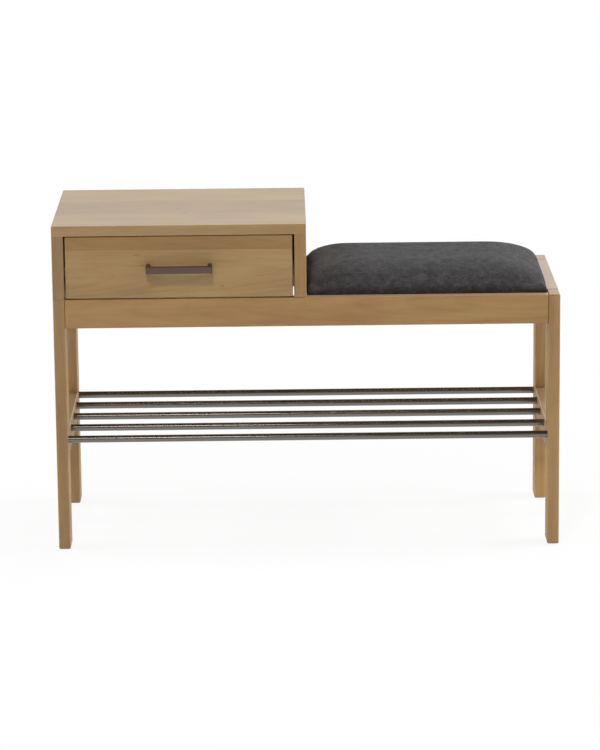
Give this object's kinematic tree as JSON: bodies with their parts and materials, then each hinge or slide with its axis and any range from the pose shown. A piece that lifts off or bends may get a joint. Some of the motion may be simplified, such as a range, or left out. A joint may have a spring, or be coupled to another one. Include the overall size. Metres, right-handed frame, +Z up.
{
  "type": "shoe storage bench",
  "caption": "Wooden hall bench: a drawer cabinet beside a drop-in padded seat, on a leg frame with a shoe rack of steel rods.",
  "frame": {"origin": "on the floor, under the middle of the bench's box, drawer pull included", "axes": "+X along the bench towards the seat end, -Y towards the front where the drawer opens, +Z up"},
  "size_m": [0.85, 0.378, 0.56],
  "materials": {
    "wood": "light brown solid hardwood, satin lacquer",
    "plywood": "pale birch plywood, raw face",
    "rod_steel": "bright plated steel tube",
    "pull_steel": "dark brushed steel",
    "coated_steel": "cream powder coat",
    "nylon": "moulded, matt",
    "zinc": "zinc plated",
    "fabric": "charcoal heathered woven cover over foam",
    "glide_plastic": "moulded, matt"
  },
  "bodies": {
    "frame": {"front_left_leg": "wood", "front_right_leg": "wood", "rear_left_leg": "wood", "rear_right_leg": "wood", "front_rail": "wood", "rear_rail": "wood", "left_end_rail": "wood", "right_end_rail": "wood", "middle_rail": "wood", "left_rack_rail": "wood", "right_rack_rail": "wood", "cabinet_top": "wood", "cabinet_left_side": "wood", "cabinet_right_side": "wood", "front_seat_cleat": "wood", "rear_seat_cleat": "wood", "cabinet_back": "plywood", "seat_board": "plywood", "rack_rod_1": "rod_steel", "rack_rod_2": "rod_steel", "rack_rod_3": "rod_steel", "rack_rod_4": "rod_steel", "rack_rod_5": "rod_steel", "left_channel": "coated_steel", "right_channel": "coated_steel", "seat_front_left_screw": "zinc", "seat_front_right_screw": "zinc", "seat_rear_left_screw": "zinc", "seat_rear_right_screw": "zinc", "left_channel_front_screw": "zinc", "left_channel_rear_screw": "zinc", "right_channel_front_screw": "zinc", "right_channel_rear_screw": "zinc", "seat_pad": "fabric", "front_left_glide": "glide_plastic", "front_right_glide": "glide_plastic", "rear_left_glide": "glide_plastic", "rear_right_glide": "glide_plastic"},
    "drawer": {"drawer_front": "wood", "drawer_left_side": "wood", "drawer_right_side": "wood", "drawer_back": "wood", "drawer_bottom": "plywood", "drawer_pull": "pull_steel", "pull_left_bolt": "zinc", "pull_right_bolt": "zinc", "left_carrier_front_screw": "zinc", "left_carrier_rear_screw": "zinc", "right_carrier_front_screw": "zinc", "right_carrier_rear_screw": "zinc", "left_carrier": "coated_steel", "right_carrier": "coated_steel"},
    "left_front_roller": {"left_front_roller": "nylon"},
    "right_front_roller": {"right_front_roller": "nylon"},
    "left_rear_roller": {"left_rear_roller": "nylon"},
    "right_rear_roller": {"right_rear_roller": "nylon"}
  },
  "joints": [
    {"name": "drawer_slide", "type": "slide", "parent": "frame", "child": "drawer", "axis": [0, -1, 0], "range_m": [0, 0.22]},
    {"name": "left_front_roller_spin", "type": "hinge", "parent": "frame", "child": "left_front_roller", "pos_m": [-0.39875, -0.129, 0.4803], "axis": [1, 0, 0], "continuous": true},
    {"name": "right_front_roller_spin", "type": "hinge", "parent": "frame", "child": "right_front_roller", "pos_m": [-0.02625, -0.129, 0.4803], "axis": [1, 0, 0], "continuous": true},
    {"name": "left_rear_roller_spin", "type": "hinge", "parent": "drawer", "child": "left_rear_roller", "pos_m": [-0.39875, 0.125, 0.4791], "axis": [1, 0, 0], "continuous": true},
    {"name": "right_rear_roller_spin", "type": "hinge", "parent": "drawer", "child": "right_rear_roller", "pos_m": [-0.02625, 0.125, 0.4791], "axis": [1, 0, 0], "continuous": true}
  ],
  "couplings": [
    {"joint": "left_front_roller_spin", "follows": "drawer_slide", "rad_per_m": 158.73},
    {"joint": "right_front_roller_spin", "follows": "drawer_slide", "rad_per_m": 158.73},
    {"joint": "left_rear_roller_spin", "follows": "drawer_slide", "rad_per_m": 181.82},
    {"joint": "right_rear_roller_spin", "follows": "drawer_slide", "rad_per_m": 181.82}
  ]
}
